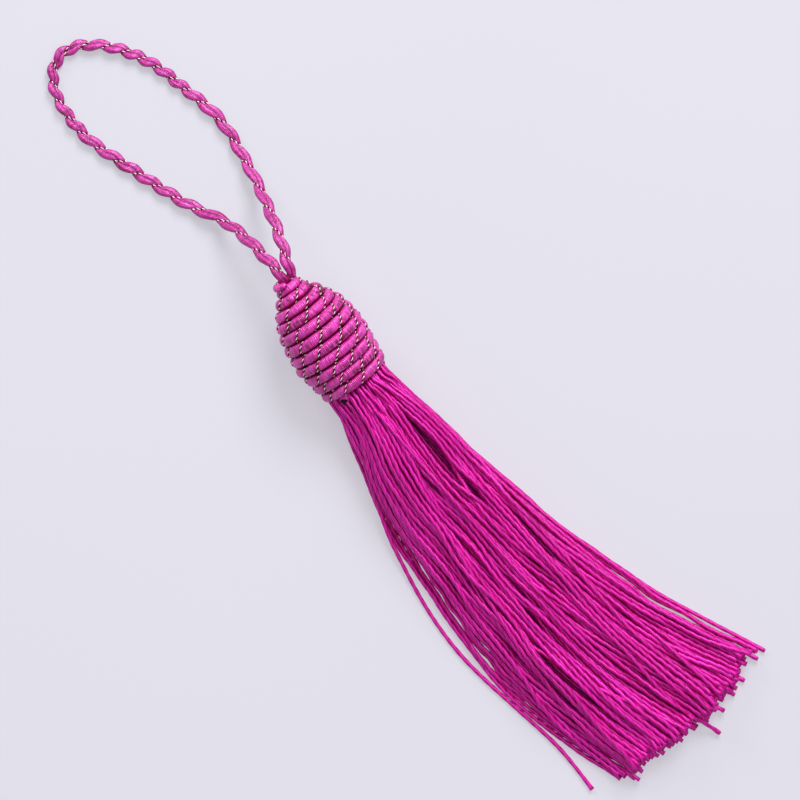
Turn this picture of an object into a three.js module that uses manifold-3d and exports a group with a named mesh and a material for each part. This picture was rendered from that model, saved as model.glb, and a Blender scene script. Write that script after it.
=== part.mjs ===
// Tassel pendant, lying on a flat surface.
//
// Millimetres, +Z up. X runs from the hanging loop (-X) to the loose end of the skirt (+X).
// The origin is the middle of the flat spot on which the wound head rests.
//
// Three pieces: a hanging loop of cord, an egg-shaped head wound from one cord,
// and a skirt of loose yarn, a comb whose back is bound in the neck of the head.

import * as THREE from "three";
import { mergeVertices } from "three/addons/utils/BufferGeometryUtils.js";
import Module from "manifold-3d";

// ---------------------------------------------------------------- sizes, mm
const GAP = 0.3; // between one piece and the next

// The head: its axis dips towards the skirt, and is turned a little about Z.
const HEAD_LENGTH = 22;
const HEAD_DIP = 14; // degrees
const HEAD_TURN = -9.8; // degrees
const HEAD_TIP = { x: -17.87, y: 3.09, z: 10.3 }; // where the loop goes in
const WIND_TURNS = 12.1;
const WIND_START = 0.609; // share of a turn
const WIND_RELIEF = 0.4; // from the crest of a turn to the groove
const WIND_FACETS = 28; // round the head
const WIND_STEPS = 5; // along the axis for one turn

// Crests of the turns: along = distance from the tip down the axis.
const HEAD_PROFILE = [
  { along: 0.0, radius: 1.5 },
  { along: 0.7, radius: 2.2 },
  { along: 1.7, radius: 2.85 },
  { along: 3.4, radius: 4.05 },
  { along: 5.1, radius: 5.15 },
  { along: 6.8, radius: 6.0 },
  { along: 8.5, radius: 6.55 },
  { along: 10.2, radius: 6.9 },
  { along: 12.0, radius: 7.1 },
  { along: 14.4, radius: 7.2 },
  { along: 16.0, radius: 6.95 },
  { along: 17.6, radius: 6.65 },
  { along: 19.2, radius: 6.45 },
  { along: 20.6, radius: 6.2 },
  { along: 21.5, radius: 5.9 },
  { along: 22.0, radius: 5.5 },
];

// The hanging loop: the middle of the cord, from one end in the head to the other.
const LOOP_CORD = 2.0; // diameter
const LOOP_SIDES = 8;
const LOOP_STEPS = 56;
const LOOP_ROUTE = [
  { x: -18.25, y: 4.75, z: 10.85 },
  { x: -22.2, y: 6.94, z: 10.15 },
  { x: -26.33, y: 8.89, z: 7.9 },
  { x: -30.32, y: 10.48, z: 4.9 },
  { x: -34.48, y: 11.99, z: 2.5 },
  { x: -38.33, y: 13.14, z: 1.35 },
  { x: -42.23, y: 14.21, z: 1.1 },
  { x: -46.31, y: 14.68, z: 1.1 },
  { x: -50.44, y: 14.44, z: 1.1 },
  { x: -54.39, y: 13.98, z: 1.1 },
  { x: -58.73, y: 13.46, z: 1.1 },
  { x: -63.01, y: 12.11, z: 1.1 },
  { x: -67.32, y: 9.78, z: 1.1 },
  { x: -70.24, y: 6.93, z: 1.1 },
  { x: -71.44, y: 3.7, z: 1.1 },
  { x: -70.3, y: 0.55, z: 1.1 },
  { x: -67.37, y: -1.68, z: 1.1 },
  { x: -63.39, y: -2.79, z: 1.1 },
  { x: -58.9, y: -3.17, z: 1.1 },
  { x: -54.1, y: -2.55, z: 1.1 },
  { x: -48.77, y: -1.48, z: 1.1 },
  { x: -43.29, y: -0.28, z: 1.1 },
  { x: -38.01, y: 1.08, z: 1.25 },
  { x: -33.08, y: 2.83, z: 2.6 },
  { x: -28.63, y: 3.51, z: 5.7 },
  { x: -24.37, y: 3.51, z: 9.1 },
  { x: -20.9, y: 3.25, z: 10.5 },
  { x: -18.8, y: 2.6, z: 10.8 },
];

// The skirt: sections of the bundle. crest = its top, waist = the height at which it is widest.
// Its foot is the surface that it lies on.
const NECK_RADIUS = 5.2;
const NECK_RISE = 5.2; // height of the middle of the neck
const SKIRT_SIDES = 24;
const BUNDLE_SHARE = 0.93; // the core of the bundle fills this share of the outline
const SKIRT_SECTIONS = [
  { x: 7.2, right: -7.6, left: 5.4, crest: 10.5, waist: 4.7 },
  { x: 13.3, right: -10.2, left: 5.7, crest: 9.7, waist: 3.7 },
  { x: 19.9, right: -13.0, left: 5.8, crest: 8.9, waist: 2.9 },
  { x: 26.5, right: -15.2, left: 6.0, crest: 8.3, waist: 2.4 },
  { x: 36.4, right: -16.9, left: 6.7, crest: 7.5, waist: 2.0 },
  { x: 46.4, right: -18.9, left: 7.6, crest: 6.9, waist: 1.7 },
  { x: 56.3, right: -19.3, left: 9.5, crest: 6.3, waist: 1.6 },
  { x: 66.3, right: -19.2, left: 11.8, crest: 5.8, waist: 1.5 },
  { x: 76.3, right: -17.2, left: 14.9, crest: 5.3, waist: 1.4 },
];
const BUNDLE_END = 46.4; // past it the locks of yarn part
const LOCKS_START = 12.0; // from here they show as ridges on the bundle

// The teeth of the comb. from, to = the share of the width that a layer of locks fills,
// level = how high it lies, 0 on the surface and 1 at the crest,
// short = how much sooner it ends than the lowest one.
const LOCK = 2.8; // diameter
const LOCK_SIDES = 6;
const LOCK_STEPS = 6;
const LOCK_LAYERS = [
  { locks: 12, level: 0.0, from: 0.0, to: 1.0, short: 0.0 },
  { locks: 10, level: 0.55, from: 0.07, to: 0.93, short: 1.6 },
  { locks: 8, level: 1.0, from: 0.17, to: 0.83, short: 3.2 },
];
const LOCK_UNEVEN = 0.8; // the ends of the locks differ by about this, either way

// Where the lowest locks end, from the right edge to the left edge.
const SKIRT_TIPS = [
  { y: -16.5, x: 79.4 },
  { y: -13.5, x: 81.4 },
  { y: -10.5, x: 81.2 },
  { y: -7.5, x: 81.8 },
  { y: -4.5, x: 82.5 },
  { y: -1.5, x: 82.8 },
  { y: 1.5, x: 83.6 },
  { y: 4.5, x: 83.4 },
  { y: 7.5, x: 83.0 },
  { y: 10.5, x: 82.2 },
  { y: 13.5, x: 81.4 },
  { y: 16.0, x: 81.0 },
];

// Single strands that part from the bundle: {x, y, z} along each.
const STRAND = 1.2;
const STRAYS = [
  [
    { x: 25.0, y: -13.9, z: 1.6 },
    { x: 33.0, y: -17.3, z: 0.65 },
    { x: 39.6, y: -19.1, z: 0.65 },
    { x: 46.3, y: -20.0, z: 0.65 },
    { x: 56.0, y: -19.8, z: 0.65 },
    { x: 66.2, y: -19.6, z: 0.65 },
    { x: 72.8, y: -19.4, z: 0.65 },
    { x: 78.2, y: -20.0, z: 0.65 },
  ],
  [
    { x: 60.0, y: 9.4, z: 1.3 },
    { x: 68.0, y: 12.2, z: 1.2 },
    { x: 75.0, y: 14.6, z: 1.0 },
    { x: 81.6, y: 16.6, z: 0.65 },
  ],
  [
    { x: 64.0, y: 0.9, z: 1.3 },
    { x: 78.0, y: 1.1, z: 1.2 },
    { x: 86.0, y: 1.3, z: 0.65 },
  ],
];

// ---------------------------------------------------------------- helpers
const wasm = await Module();
wasm.setup();

// A closed geometry as a solid, and back.
function solid(geometry) {
  const bare = geometry.clone();
  bare.deleteAttribute("normal");
  bare.deleteAttribute("uv");
  const merged = mergeVertices(bare, 1e-4);
  return new wasm.Manifold(
    new wasm.Mesh({
      numProp: 3,
      vertProperties: new Float32Array(merged.attributes.position.array),
      triVerts: new Uint32Array(merged.index.array),
    }),
  );
}
function geometryOf(body) {
  const m = body.getMesh();
  const at = new Float32Array(m.numVert * 3);
  for (let i = 0; i < m.numVert; i++)
    for (let k = 0; k < 3; k++)
      at[3 * i + k] = m.vertProperties[i * m.numProp + k];
  const g = new THREE.BufferGeometry();
  g.setAttribute("position", new THREE.BufferAttribute(at, 3));
  g.setIndex(new THREE.BufferAttribute(new Uint32Array(m.triVerts), 1));
  g.computeVertexNormals();
  return g;
}

// The value of one column of a table at a place in another, straight between rows.
function column(table, key, at, value) {
  const last = table.length - 1;
  if (at <= table[0][key]) return table[0][value];
  for (let i = 0; i < last; i++) {
    const a = table[i],
      b = table[i + 1];
    if (at <= b[key])
      return a[value] + ((b[value] - a[value]) * (at - a[key])) / (b[key] - a[key]);
  }
  return table[last][value];
}

// A round rod of n sides along a smooth route.
function rod(route, diameter, sides, steps) {
  const section = new THREE.Shape();
  for (let i = 0; i < sides; i++) {
    const a = (2 * Math.PI * (i + 0.5)) / sides;
    const r = diameter / 2;
    if (i === 0) section.moveTo(r * Math.cos(a), r * Math.sin(a));
    else section.lineTo(r * Math.cos(a), r * Math.sin(a));
  }
  section.closePath();
  const path = new THREE.CatmullRomCurve3(
    route.map((p) => new THREE.Vector3(p.x, p.y, p.z)),
    false,
    "centripetal",
  );
  return new THREE.ExtrudeGeometry(section, {
    steps,
    bevelEnabled: false,
    extrudePath: path,
  });
}

// ---------------------------------------------------------------- the wound head
const dip = THREE.MathUtils.degToRad(HEAD_DIP);
const turn = THREE.MathUtils.degToRad(HEAD_TURN);
const headAxis = new THREE.Vector3(
  Math.cos(dip) * Math.cos(turn),
  Math.cos(dip) * Math.sin(turn),
  -Math.sin(dip),
);
const tip = new THREE.Vector3(HEAD_TIP.x, HEAD_TIP.y, HEAD_TIP.z);

function woundHead() {
  const rings = Math.round(WIND_TURNS * WIND_STEPS);
  const profile = [new THREE.Vector2(0, 0)];
  for (let i = 0; i <= rings; i++) {
    const along = (HEAD_LENGTH * i) / rings;
    profile.push(
      new THREE.Vector2(column(HEAD_PROFILE, "along", along, "radius"), along),
    );
  }
  profile.push(new THREE.Vector2(0, HEAD_LENGTH));
  const g = new THREE.LatheGeometry(profile, WIND_FACETS);
  // The turns run round the axis as one right-handed screw. Both end faces stay flat.
  const at = g.attributes.position;
  for (let i = 0; i < at.count; i++) {
    const x = at.getX(i),
      y = at.getY(i),
      z = at.getZ(i);
    const r = Math.hypot(x, z);
    if (r < 1e-6) continue;
    const phase =
      (y / HEAD_LENGTH) * WIND_TURNS + Math.atan2(z, x) / (2 * Math.PI) + WIND_START;
    const groove = WIND_RELIEF * (0.5 + 0.5 * Math.cos(2 * Math.PI * phase));
    at.setX(i, (x * (r - groove)) / r);
    at.setZ(i, (z * (r - groove)) / r);
  }
  g.applyQuaternion(
    new THREE.Quaternion().setFromUnitVectors(new THREE.Vector3(0, 1, 0), headAxis),
  );
  g.translate(tip.x, tip.y, tip.z);
  // The underside is pressed flat on the surface.
  const below = new THREE.BoxGeometry(80, 80, 40);
  below.translate(0, 0, -20);
  return geometryOf(solid(g).subtract(solid(below)));
}

// ---------------------------------------------------------------- the skirt
const neck = tip.clone().addScaledVector(headAxis, HEAD_LENGTH + GAP);

// The height of the bundle's upper outline at a share of its width.
function dome(row, share) {
  return row.waist + (row.crest - row.waist) * Math.sqrt(Math.max(0, 1 - (2 * share - 1) ** 2));
}

// A point of the core's outline: a = the angle round it, with the floor under the lower half.
function outline(row, a) {
  const middle = (row.left + row.right) / 2;
  const half = (BUNDLE_SHARE * (row.left - row.right)) / 2;
  const c = Math.cos(a),
    s = Math.sin(a);
  const y = middle + half * Math.sign(c) * Math.abs(c) ** (s < 0 ? 0.75 : 1);
  const z =
    s < 0
      ? row.waist * (1 - Math.abs(s) ** 0.45)
      : row.waist + (BUNDLE_SHARE * row.crest - row.waist) * s;
  return { y, z };
}

function bundle() {
  const rows = SKIRT_SECTIONS.filter((row) => row.x <= BUNDLE_END);
  // A drum of one ring for each section, whose points are moved onto the sections.
  const g = new THREE.CylinderGeometry(1, 1, 1, SKIRT_SIDES, rows.length, false);
  const side = new THREE.Vector3(-Math.sin(turn), Math.cos(turn), 0);
  const rise = new THREE.Vector3().crossVectors(headAxis, side);
  const lift = (NECK_RISE - neck.z) / rise.z;
  const at = g.attributes.position;
  for (let i = 0; i < at.count; i++) {
    const ring = Math.round((0.5 - at.getY(i)) * rows.length);
    const r = Math.hypot(at.getX(i), at.getZ(i));
    const a = Math.atan2(-at.getX(i), at.getZ(i));
    let p;
    if (ring === 0) {
      p = neck
        .clone()
        .addScaledVector(side, r * NECK_RADIUS * Math.cos(a))
        .addScaledVector(rise, r * NECK_RADIUS * Math.sin(a) + lift);
    } else {
      const row = rows[ring - 1];
      if (r < 0.5)
        p = new THREE.Vector3(row.x, (row.left + row.right) / 2, row.crest * 0.4);
      else {
        const o = outline(row, a);
        p = new THREE.Vector3(row.x, o.y, o.z);
      }
    }
    at.setXYZ(i, p.x, p.y, p.z);
  }
  return g;
}

// A row of the table of sections at any place along the skirt.
function sectionAt(x) {
  const row = {};
  for (const key of ["right", "left", "crest", "waist"])
    row[key] = column(SKIRT_SECTIONS, "x", x, key);
  return row;
}

// A lock lies at the same share of the width all the way, and ends by the table of tips.
function lock(share, layer, number) {
  const place = (x) => {
    const row = sectionAt(x);
    const fan = Math.max(0, x - 76.3) * 0.12 * (share - 0.45);
    return row.right + LOCK / 2 + (row.left - row.right - LOCK) * share + fan;
  };
  const end =
    column(SKIRT_TIPS, "y", place(80), "x") -
    layer.short +
    LOCK_UNEVEN * Math.sin(2.4 * number + 5 * layer.level);
  const route = [];
  for (let i = 0; i <= LOCK_STEPS; i++) {
    const x = LOCKS_START + ((end - LOCKS_START) * i) / LOCK_STEPS;
    const top = dome(sectionAt(x), share) - LOCK;
    route.push({ x, y: place(x), z: LOCK / 2 - 0.1 + layer.level * Math.max(0, top) });
  }
  return rod(route, LOCK, LOCK_SIDES, LOCK_STEPS + 1);
}

function yarnSkirt() {
  let body = solid(bundle());
  LOCK_LAYERS.forEach((layer) => {
    for (let i = 0; i < layer.locks; i++) {
      const share = layer.from + ((layer.to - layer.from) * i) / (layer.locks - 1);
      body = body.add(solid(lock(share, layer, i)));
    }
  });
  for (const route of STRAYS) body = body.add(solid(rod(route, STRAND, 6, 12)));
  const below = new THREE.BoxGeometry(300, 120, 40);
  below.translate(0, 0, -20);
  body = body.subtract(solid(below));
  // Small hollows shut in between the locks are filled: only the outer shell is kept.
  const shells = body.decompose();
  shells.sort((a, b) => b.volume() - a.volume());
  return geometryOf(shells[0]);
}

// ---------------------------------------------------------------- the part
const satin = new THREE.MeshStandardMaterial({ color: 0xc43a92, roughness: 0.45, metalness: 0 });
const wound = new THREE.MeshStandardMaterial({ color: 0xb83590, roughness: 0.5, metalness: 0 });
const yarn = new THREE.MeshStandardMaterial({ color: 0xb41a7c, roughness: 0.55, metalness: 0 });

const group = new THREE.Group();
function piece(name, geometry, material) {
  const mesh = new THREE.Mesh(geometry, material);
  mesh.name = name;
  group.add(mesh);
}
piece("loop_cord", rod(LOOP_ROUTE, LOOP_CORD, LOOP_SIDES, LOOP_STEPS), satin);
piece("wound_head", woundHead(), wound);
piece("yarn_skirt", yarnSkirt(), yarn);

export default group;
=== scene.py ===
# Tassel pendant lying on a pale surface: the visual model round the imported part.
# Lengths in the tables are millimetres in the row frame; meshes are made in metres.
import math

import bpy
import numpy as np
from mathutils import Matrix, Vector


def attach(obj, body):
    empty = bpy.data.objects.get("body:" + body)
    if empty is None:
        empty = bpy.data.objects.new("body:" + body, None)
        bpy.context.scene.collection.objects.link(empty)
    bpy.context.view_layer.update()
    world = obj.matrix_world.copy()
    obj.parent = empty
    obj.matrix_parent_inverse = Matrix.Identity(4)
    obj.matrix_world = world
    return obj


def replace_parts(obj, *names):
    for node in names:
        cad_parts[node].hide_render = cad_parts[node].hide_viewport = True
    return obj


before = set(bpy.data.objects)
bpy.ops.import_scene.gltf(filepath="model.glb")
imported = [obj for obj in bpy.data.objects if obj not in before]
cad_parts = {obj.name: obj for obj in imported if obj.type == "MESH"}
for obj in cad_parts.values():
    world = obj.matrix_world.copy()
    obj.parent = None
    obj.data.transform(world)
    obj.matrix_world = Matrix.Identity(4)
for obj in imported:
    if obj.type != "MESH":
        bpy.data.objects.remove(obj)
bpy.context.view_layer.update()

MM = 0.001
UP = np.array([0.0, 0.0, 1.0])


# ------------------------------------------------------------------ camera
def make_camera():
    az, el = math.radians(45), math.radians(88)
    back = Vector(
        (math.sin(az) * math.cos(el), -math.cos(az) * math.cos(el), math.sin(el))
    )
    data = bpy.data.cameras.new("camera")
    data.sensor_width = 36.0
    data.lens = 162.0
    data.clip_start, data.clip_end = 0.01, 20.0
    cam = bpy.data.objects.new("camera", data)
    bpy.context.scene.collection.objects.link(cam)
    cam.location = Vector((0.00933, 0.00281, 0.0)) + back * 0.6
    cam.rotation_mode = "QUATERNION"
    cam.rotation_quaternion = (-back).to_track_quat("-Z", "Y")
    bpy.context.scene.camera = cam


make_camera()


# ------------------------------------------------------------------ small maths
def smooth(a, b, x):
    t = np.clip((np.asarray(x, float) - a) / (b - a), 0, 1)
    return t * t * (3 - 2 * t)


def column(rows, x, c):
    a = np.asarray(rows, float)
    return np.interp(x, a[:, 0], a[:, c])


def cubic(t, p, at):
    """Natural cubic spline through the points p at t, evaluated at `at`."""
    t, p = np.asarray(t, float), np.asarray(p, float)
    one = p.ndim == 1
    if one:
        p = p[:, None]
    n = len(t)
    h = np.diff(t)
    a = np.zeros((n, n))
    b = np.zeros((n, p.shape[1]))
    a[0, 0] = a[-1, -1] = 1
    for i in range(1, n - 1):
        a[i, i - 1], a[i, i], a[i, i + 1] = h[i - 1], 2 * (h[i - 1] + h[i]), h[i]
        b[i] = 6 * ((p[i + 1] - p[i]) / h[i] - (p[i] - p[i - 1]) / h[i - 1])
    m = np.linalg.solve(a, b)
    k = np.clip(np.searchsorted(t, at, side="right") - 1, 0, n - 2)
    u, v = (t[k + 1] - at)[:, None], (at - t[k])[:, None]
    hk = h[k][:, None]
    out = (
        m[k] * u**3 / (6 * hk)
        + m[k + 1] * v**3 / (6 * hk)
        + (p[k] / hk - m[k] * hk / 6) * u
        + (p[k + 1] / hk - m[k + 1] * hk / 6) * v
    )
    return out[:, 0] if one else out


def arc(p):
    """Length along a line of points."""
    return np.concatenate([[0], np.cumsum(np.linalg.norm(np.diff(p, axis=0), axis=1))])


def even(p, step):
    """The same line in equal steps of about `step`."""
    length = arc(p)
    n = max(2, int(round(length[-1] / step)) + 1)
    at = np.linspace(0, length[-1], n)
    return np.stack([np.interp(at, length, p[:, i]) for i in range(3)], 1), at


def smooth_line(points, step, dense=40):
    p = np.asarray(points, float)
    t = np.concatenate(
        [[0], np.cumsum(np.linalg.norm(np.diff(p, axis=0), axis=1) ** 0.5)]
    )
    q = cubic(t, p, np.linspace(0, t[-1], dense * len(p)))
    return even(q, step)


def unit(v):
    return v / np.maximum(np.linalg.norm(v, axis=-1, keepdims=True), 1e-12)


def tangents(p):
    return unit(np.gradient(p, axis=0))


def wobble(rng, at, wave, size):
    """A smooth random run along a line: about `size` high, `wave` long."""
    n = int((at[-1] - at[0]) / wave) + 4
    knots = np.linspace(at[0] - wave, at[-1] + wave, n)
    return cubic(knots, rng.normal(0, size, n), at)


# ------------------------------------------------------------------ meshes
class Weave:
    """Collects tubes, then makes them one mesh object."""

    def __init__(self):
        self.v, self.q, self.t, self.uq, self.ut = [], [], [], [], []
        self.tint, self.zone = [], []
        self.n = 0

    def tube(self, rings, along, tint=0.5, caps=(0.0, 0.0), shear=None, zone=0.0):
        """rings: (n, k, 3) points in mm, going round the line of travel by the right-hand rule.
        caps: how far the middle of each end stands out, in mm; None leaves that end open.
        tint and zone: one value, or one for each point."""
        n, k = rings.shape[:2]
        base = self.n
        self.v.append(rings.reshape(-1, 3))
        tint, zone = (np.broadcast_to(np.asarray(g, float), (n, k)) for g in (tint, zone))
        self.tint.append(tint.ravel())
        self.zone.append(zone.ravel())
        self.n += n * k
        i = np.arange(n - 1)[:, None] * k
        j = np.arange(k)[None, :]
        j2 = (j + 1) % k
        quads = np.stack([i + j, i + j2, i + k + j2, i + k + j], -1).reshape(-1, 4)
        self.q.append(quads + base)
        # shear turns the lay of the fibres round the tube, in turns at each ring
        off = np.zeros(n) if shear is None else shear
        u, u2 = j / k - off[:-1, None], (j + 1) / k - off[:-1, None]
        w, w2 = j / k - off[1:, None], (j + 1) / k - off[1:, None]
        a = np.broadcast_to(along[:-1, None], (n - 1, k))
        b = np.broadcast_to(along[1:, None], (n - 1, k))
        uv = np.stack(
            [
                np.stack([u, a], -1),
                np.stack([u2, a], -1),
                np.stack([w2, b], -1),
                np.stack([w, b], -1),
            ],
            2,
        )
        self.uq.append(uv.reshape(-1, 2))
        for end, ring, out in ((0, 0, caps[0]), (1, n - 1, caps[1])):
            if out is None:
                continue
            centre = rings[ring].mean(0)
            face = (
                unit(rings[0].mean(0) - rings[1].mean(0))
                if end == 0
                else unit(rings[-1].mean(0) - rings[-2].mean(0))
            )
            self.v.append((centre + face * out)[None])
            self.tint.append(np.full(1, tint[ring].mean()))
            self.zone.append(np.full(1, zone[ring].mean()))
            c = self.n
            self.n += 1
            r = base + ring * k
            jj = np.arange(k)
            if end == 0:
                tri = np.stack([r + (jj + 1) % k, r + jj, np.full(k, c)], 1)
            else:
                tri = np.stack([r + jj, r + (jj + 1) % k, np.full(k, c)], 1)
            self.t.append(tri)
            at = along[ring]
            self.ut.append(
                np.stack([np.tile([0.1, 0.2, 0.15], k), np.full(3 * k, at)], 1)
            )

    def make(self, name, material, slot):
        v = np.concatenate(self.v) * MM
        q = np.concatenate(self.q)
        t = np.concatenate(self.t) if self.t else np.zeros((0, 3), int)
        mesh = bpy.data.meshes.new(name)
        loops = np.concatenate([q.ravel(), t.ravel()]).astype(np.int32)
        starts = np.concatenate(
            [np.arange(len(q)) * 4, len(q) * 4 + np.arange(len(t)) * 3]
        ).astype(np.int32)
        mesh.vertices.add(len(v))
        mesh.vertices.foreach_set("co", v.astype(np.float32).ravel())
        mesh.loops.add(len(loops))
        mesh.loops.foreach_set("vertex_index", loops)
        mesh.polygons.add(len(starts))
        mesh.polygons.foreach_set("loop_start", starts)
        mesh.polygons.foreach_set("use_smooth", np.ones(len(starts), bool))
        mesh.update(calc_edges=True)
        uv = mesh.uv_layers.new(name="lay")
        coords = np.concatenate([np.concatenate(self.uq)] + self.ut)
        uv.data.foreach_set("uv", coords.astype(np.float32).ravel())
        for word, values in (("tint", self.tint), ("zone", self.zone)):
            layer = mesh.attributes.new(word, "FLOAT", "POINT")
            layer.data.foreach_set("value", np.concatenate(values).astype(np.float32))
        mesh.validate()
        mesh.materials.append(material)
        ob = bpy.data.objects.new(name, mesh)
        bpy.context.scene.collection.objects.link(ob)
        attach(ob, "root")
        return ob


# ------------------------------------------------------------------ materials
class Nodes:
    def __init__(self, name):
        self.material = bpy.data.materials.new(name)
        self.material.use_nodes = True
        self.tree = self.material.node_tree
        self.shader = self.tree.nodes["Principled BSDF"]

    def new(self, kind, **settings):
        node = self.tree.nodes.new(kind)
        for key, value in settings.items():
            setattr(node, key, value)
        return node

    def link(self, a, b):
        self.tree.links.new(a, b)

    def value(self, node, **inputs):
        for key, value in inputs.items():
            node.inputs[key.replace("_", " ")].default_value = value

    def mapped(self, source, scale, rotation=(0, 0, 0)):
        m = self.new("ShaderNodeMapping")
        m.inputs["Scale"].default_value = scale
        m.inputs["Rotation"].default_value = rotation
        self.link(source, m.inputs["Vector"])
        return m.outputs["Vector"]

    def noise(self, vector, scale, detail=2.0, rough=0.5, distortion=0.0):
        n = self.new("ShaderNodeTexNoise")
        self.value(n, Scale=scale, Detail=detail, Roughness=rough, Distortion=distortion)
        self.link(vector, n.inputs["Vector"])
        return n.outputs["Fac"]

    def ramp(self, fac, stops):
        r = self.new("ShaderNodeValToRGB")
        e = r.color_ramp.elements
        while len(e) < len(stops):
            e.new(0.5)
        for el, (at, colour) in zip(e, stops):
            el.position = at
            el.color = colour
        self.link(fac, r.inputs["Fac"])
        return r.outputs["Color"]

    def math(self, op, a, b=0.0, clamp=False):
        m = self.new("ShaderNodeMath", operation=op, use_clamp=clamp)
        for i, x in enumerate((a, b)):
            if isinstance(x, (int, float)):
                m.inputs[i].default_value = x
            else:
                self.link(x, m.inputs[i])
        return m.outputs[0]

    def mix(self, fac, a, b, blend="MIX"):
        m = self.new("ShaderNodeMix", data_type="RGBA", blend_type=blend)
        sockets = {s.identifier: s for s in m.inputs}
        for key, x in (
            ("Factor_Float", fac),
            ("A_Color", a),
            ("B_Color", b),
        ):
            if isinstance(x, (int, float, tuple)):
                sockets[key].default_value = x
            else:
                self.link(x, sockets[key])
        return next(s for s in m.outputs if s.identifier == "Result_Color")

    def bump(self, height, strength, distance, normal=None):
        b = self.new("ShaderNodeBump")
        self.value(b, Strength=strength, Distance=distance)
        self.link(height, b.inputs["Height"])
        if normal is not None:
            self.link(normal, b.inputs["Normal"])
        return b.outputs["Normal"]


def yarn_material():
    """Plied viscose yarn: satin, deep pink, its fibres along the twist."""
    n = Nodes("yarn_satin")
    uv = n.new("ShaderNodeUVMap", uv_map="lay").outputs["UV"]
    ob = n.new("ShaderNodeTexCoord").outputs["Object"]
    tint = n.new("ShaderNodeAttribute", attribute_name="tint").outputs["Fac"]
    # slow change of shade along and between strands, then fine flecks where fibres part
    slow = n.noise(n.mapped(ob, (110, 520, 520)), 1.0, 2.0)
    fibre = n.noise(n.mapped(uv, (22, 6.0, 1), (0, 0, 0.10)), 1.0, 3.0, 0.6)
    shade = n.math("ADD", n.math("MULTIPLY", slow, 0.6), n.math("MULTIPLY", tint, 0.4))
    base = n.ramp(
        shade,
        [
            (0.25, (0.72, 0.0013, 0.296, 1)),
            (0.5, (0.84, 0.0030, 0.376, 1)),
            (0.78, (0.92, 0.0105, 0.478, 1)),
        ],
    )
    dark = n.ramp(fibre, [(0.32, (0.42, 0.22, 0.36, 1)), (0.60, (1, 1, 1, 1))])
    base = n.mix(0.5, base, dark, "MULTIPLY")
    # the crease between the two plies, twice in each turn round the strand, is darkened in the colour as
    # painted shade
    sep = n.new("ShaderNodeSeparateXYZ")
    n.link(uv, sep.inputs["Vector"])
    round_it = n.math("COSINE", n.math("MULTIPLY", sep.outputs["X"], 2 * math.pi))
    crease = n.math("POWER", n.math("ABSOLUTE", round_it), 7.0)
    deep = n.ramp(crease, [(0.0, (1, 1, 1, 1)), (0.9, (0.42, 0.20, 0.34, 1))])
    base = n.mix(0.7, base, deep, "MULTIPLY")
    # painted shade: the colour is darkened on the flanks and undersides, where strands press together
    painted_shade_mask = n.new("ShaderNodeAttribute", attribute_name="zone").outputs["Fac"]
    shaded = n.ramp(painted_shade_mask, [(0.0, (0.60, 0.002, 0.225, 1)), (1.0, (1, 1, 1, 1))])
    n.link(n.mix(1.0, base, shaded, "MULTIPLY"), n.shader.inputs["Base Color"])
    rough = n.new("ShaderNodeMapRange")
    n.value(rough, To_Min=0.36, To_Max=0.50)
    n.link(fibre, rough.inputs["Value"])
    n.link(rough.outputs["Result"], n.shader.inputs["Roughness"])
    relief = n.math("SUBTRACT", n.math("MULTIPLY", fibre, 0.8), crease)
    n.link(n.bump(relief, 0.25, 0.00006), n.shader.inputs["Normal"])
    # and the painted shade mask also turns the shine down on the flanks
    shine = n.new("ShaderNodeMapRange")
    n.value(shine, From_Min=0.62, From_Max=0.96, To_Min=0.15, To_Max=1.0)
    n.link(painted_shade_mask, shine.inputs["Value"])
    n.link(shine.outputs["Result"], n.shader.inputs["Specular IOR Level"])
    n.shader.inputs["Metallic"].default_value = 0.10
    n.shader.inputs["IOR"].default_value = 2.0
    n.shader.inputs["Specular Tint"].default_value = (1.0, 0.165, 0.86, 1)
    n.shader.inputs["Sheen Weight"].default_value = 0.02
    n.shader.inputs["Sheen Roughness"].default_value = 0.35
    n.shader.inputs["Sheen Tint"].default_value = (1.0, 0.06, 0.62, 1)
    return n.material


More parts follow.
